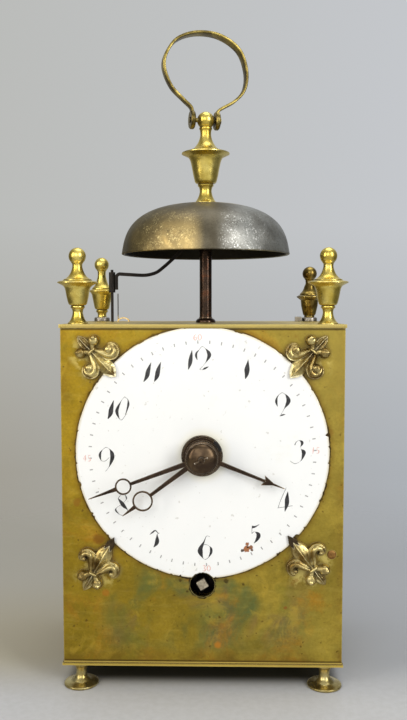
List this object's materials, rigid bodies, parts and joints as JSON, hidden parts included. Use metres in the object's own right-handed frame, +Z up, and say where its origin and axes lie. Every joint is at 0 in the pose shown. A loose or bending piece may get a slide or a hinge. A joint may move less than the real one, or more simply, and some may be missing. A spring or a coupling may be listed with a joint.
{
  "type": "travelling alarm clock",
  "caption": "Brass travelling alarm clock in a rectangular case on turned feet, with a domed dial, three hands, corner finials, a bell on top and a folding carrying handle.",
  "frame": {"origin": "on the floor, in the middle of the clock's whole box seen from above", "axes": "+X to the right seen from the dial, +Y to the back, +Z up"},
  "size_m": [0.14, 0.1076, 0.3143],
  "materials": {
    "case_brass": "aged, tarnished",
    "ornament_brass": "turned and cast, worn",
    "bell_metal": "dark patina",
    "iron": "forged, dark",
    "steel": "filed bright",
    "blued_steel": "dark brown",
    "spring_brass": "drawn",
    "spring_steel": "rolled",
    "enamel": "glossy",
    "movement_brass": "brushed"
  },
  "bodies": {
    "case": {"base_plate": "case_brass", "top_plate": "case_brass", "front_plate": "case_brass", "corner_posts": "case_brass", "feet": "ornament_brass", "finial_front_left": "ornament_brass", "finial_front_right": "ornament_brass", "finial_back_left": "ornament_brass", "finial_back_right": "ornament_brass", "finial_collars": "steel", "top_lug": "case_brass", "dial": "enamel", "fleur_top_left": "ornament_brass", "fleur_top_right": "ornament_brass", "fleur_bottom_left": "ornament_brass", "fleur_bottom_right": "ornament_brass", "bell_post": "iron", "bell_post_nut": "steel", "bell": "bell_metal", "bell_finial": "ornament_brass", "handle_pin": "ornament_brass", "hammer_spring": "spring_brass", "movement_front_plate": "movement_brass", "movement_back_plate": "movement_brass", "movement_pillars": "movement_brass", "pendulum_cock": "movement_brass", "click_spring": "spring_brass"},
    "left_door": {"left_door": "case_brass", "left_door_knob": "ornament_brass"},
    "right_door": {"right_door": "case_brass", "right_door_knob": "ornament_brass"},
    "rear_door": {"rear_door": "case_brass", "rear_door_knob": "ornament_brass"},
    "handle": {"handle": "ornament_brass"},
    "hammer": {"hammer_arbor": "iron", "hammer_head": "iron"},
    "third_wheel": {"third_wheel": "movement_brass"},
    "centre_arbor": {"centre_wheel": "movement_brass", "hand_collet": "blued_steel", "hand_pin": "steel"},
    "intermediate_wheel": {"intermediate_wheel": "movement_brass"},
    "going_barrel": {"barrel": "movement_brass", "barrel_cap": "movement_brass", "mainspring": "spring_steel"},
    "escape_wheel": {"escape_wheel": "movement_brass"},
    "minute_hand": {"cannon_pinion": "steel", "minute_hand": "blued_steel"},
    "motion_wheel": {"minute_wheel": "movement_brass"},
    "hour_hand": {"hour_wheel": "movement_brass", "hour_hand": "blued_steel"},
    "alarm_hand": {"alarm_disc": "blued_steel", "alarm_hand": "blued_steel"},
    "winding_arbor": {"winding_arbor": "steel", "ratchet_wheel": "steel"},
    "click": {"click": "steel"},
    "anchor": {"anchor": "steel"},
    "pendulum": {"pendulum_rod": "steel", "pendulum_bob": "movement_brass"},
    "alarm_barrel": {"alarm_barrel": "movement_brass"},
    "crown_wheel": {"alarm_crown_wheel": "movement_brass"}
  },
  "joints": [
    {"name": "third_wheel_spin", "type": "hinge", "parent": "case", "child": "third_wheel", "pos_m": [0.00912, -0.0113, 0.13061], "axis": [0, 1, 0], "continuous": true},
    {"name": "centre_arbor_spin", "type": "hinge", "parent": "case", "child": "centre_arbor", "pos_m": [0, -0.0052, 0.1112], "axis": [0, 1, 0], "continuous": true},
    {"name": "intermediate_wheel_spin", "type": "hinge", "parent": "case", "child": "intermediate_wheel", "pos_m": [0.00609, 0.0038, 0.08295], "axis": [0, 1, 0], "continuous": true},
    {"name": "going_barrel_spin", "type": "hinge", "parent": "case", "child": "going_barrel", "pos_m": [0, -0.0079, 0.0495], "axis": [0, 1, 0], "continuous": true},
    {"name": "escape_wheel_spin", "type": "hinge", "parent": "case", "child": "escape_wheel", "pos_m": [0, 0.0026, 0.144], "axis": [0, 1, 0], "continuous": true},
    {"name": "minute_hand_spin", "type": "hinge", "parent": "case", "child": "minute_hand", "pos_m": [0, -0.0472, 0.1112], "axis": [0, 1, 0], "continuous": true},
    {"name": "motion_wheel_spin", "type": "hinge", "parent": "case", "child": "motion_wheel", "pos_m": [-0.01039, -0.0253, 0.1052], "axis": [0, 1, 0], "continuous": true},
    {"name": "hour_hand_spin", "type": "hinge", "parent": "case", "child": "hour_hand", "pos_m": [0, -0.0446, 0.1112], "axis": [0, 1, 0], "continuous": true},
    {"name": "alarm_hand_set", "type": "hinge", "parent": "case", "child": "alarm_hand", "pos_m": [0, -0.0417, 0.1112], "axis": [0, 1, 0], "continuous": true},
    {"name": "winding_spin", "type": "hinge", "parent": "case", "child": "winding_arbor", "pos_m": [0, -0.0299, 0.0495], "axis": [0, 1, 0], "continuous": true},
    {"name": "click_lift", "type": "hinge", "parent": "case", "child": "click", "pos_m": [0.0145, -0.0235, 0.0435], "axis": [0, 1, 0], "range_deg": [0, 12], "stiffness_Nm_per_rad": 0.002, "deforming": ["click_spring"]},
    {"name": "pendulum_swing", "type": "hinge", "parent": "case", "child": "pendulum", "pos_m": [0, 0.0156, 0.158], "axis": [0, 1, 0], "range_deg": [-4, 4]},
    {"name": "anchor_rock", "type": "hinge", "parent": "case", "child": "anchor", "pos_m": [0, 0.0031, 0.158], "axis": [0, 1, 0], "range_deg": [-4, 4]},
    {"name": "alarm_barrel_spin", "type": "hinge", "parent": "case", "child": "alarm_barrel", "pos_m": [-0.03806, -0.0089, 0.12511], "axis": [0, 1, 0], "continuous": true},
    {"name": "crown_wheel_spin", "type": "hinge", "parent": "case", "child": "crown_wheel", "pos_m": [-0.0497, 0.0221, 0.14], "axis": [0, 1, 0], "continuous": true},
    {"name": "hammer_swing", "type": "hinge", "parent": "case", "child": "hammer", "pos_m": [-0.0497, 0.0291, 0.19], "axis": [0, 0, 1], "range_deg": [-24, 0.7], "stiffness_Nm_per_rad": 0.01},
    {"name": "handle_swing", "type": "hinge", "parent": "case", "child": "handle", "pos_m": [0.0008, 0.0064, 0.2712], "axis": [0.9659, 0.2588, 0], "range_deg": [-150, 150]},
    {"name": "left_door_hinge", "type": "hinge", "parent": "case", "child": "left_door", "pos_m": [-0.0641, -0.0332, 0.0905], "axis": [0, 0, 1], "range_deg": [0, 95]},
    {"name": "right_door_hinge", "type": "hinge", "parent": "case", "child": "right_door", "pos_m": [0.0641, -0.0332, 0.0905], "axis": [0, 0, -1], "range_deg": [0, 95]},
    {"name": "rear_door_hinge", "type": "hinge", "parent": "case", "child": "rear_door", "pos_m": [-0.0533, 0.0479, 0.0905], "axis": [0, 0, 1], "range_deg": [0, 95]}
  ],
  "couplings": [
    {"joint": "centre_arbor_spin", "follows": "third_wheel_spin", "ratio": -0.083333},
    {"joint": "intermediate_wheel_spin", "follows": "third_wheel_spin", "ratio": 0.011111},
    {"joint": "going_barrel_spin", "follows": "third_wheel_spin", "ratio": -0.0014815},
    {"joint": "escape_wheel_spin", "follows": "third_wheel_spin", "ratio": -11},
    {"joint": "minute_hand_spin", "follows": "third_wheel_spin", "ratio": -0.083333},
    {"joint": "motion_wheel_spin", "follows": "third_wheel_spin", "ratio": 0.027778},
    {"joint": "hour_hand_spin", "follows": "third_wheel_spin", "ratio": -0.0069444},
    {"joint": "anchor_rock", "follows": "pendulum_swing", "ratio": 1},
    {"joint": "crown_wheel_spin", "follows": "alarm_barrel_spin", "ratio": -8}
  ]
}
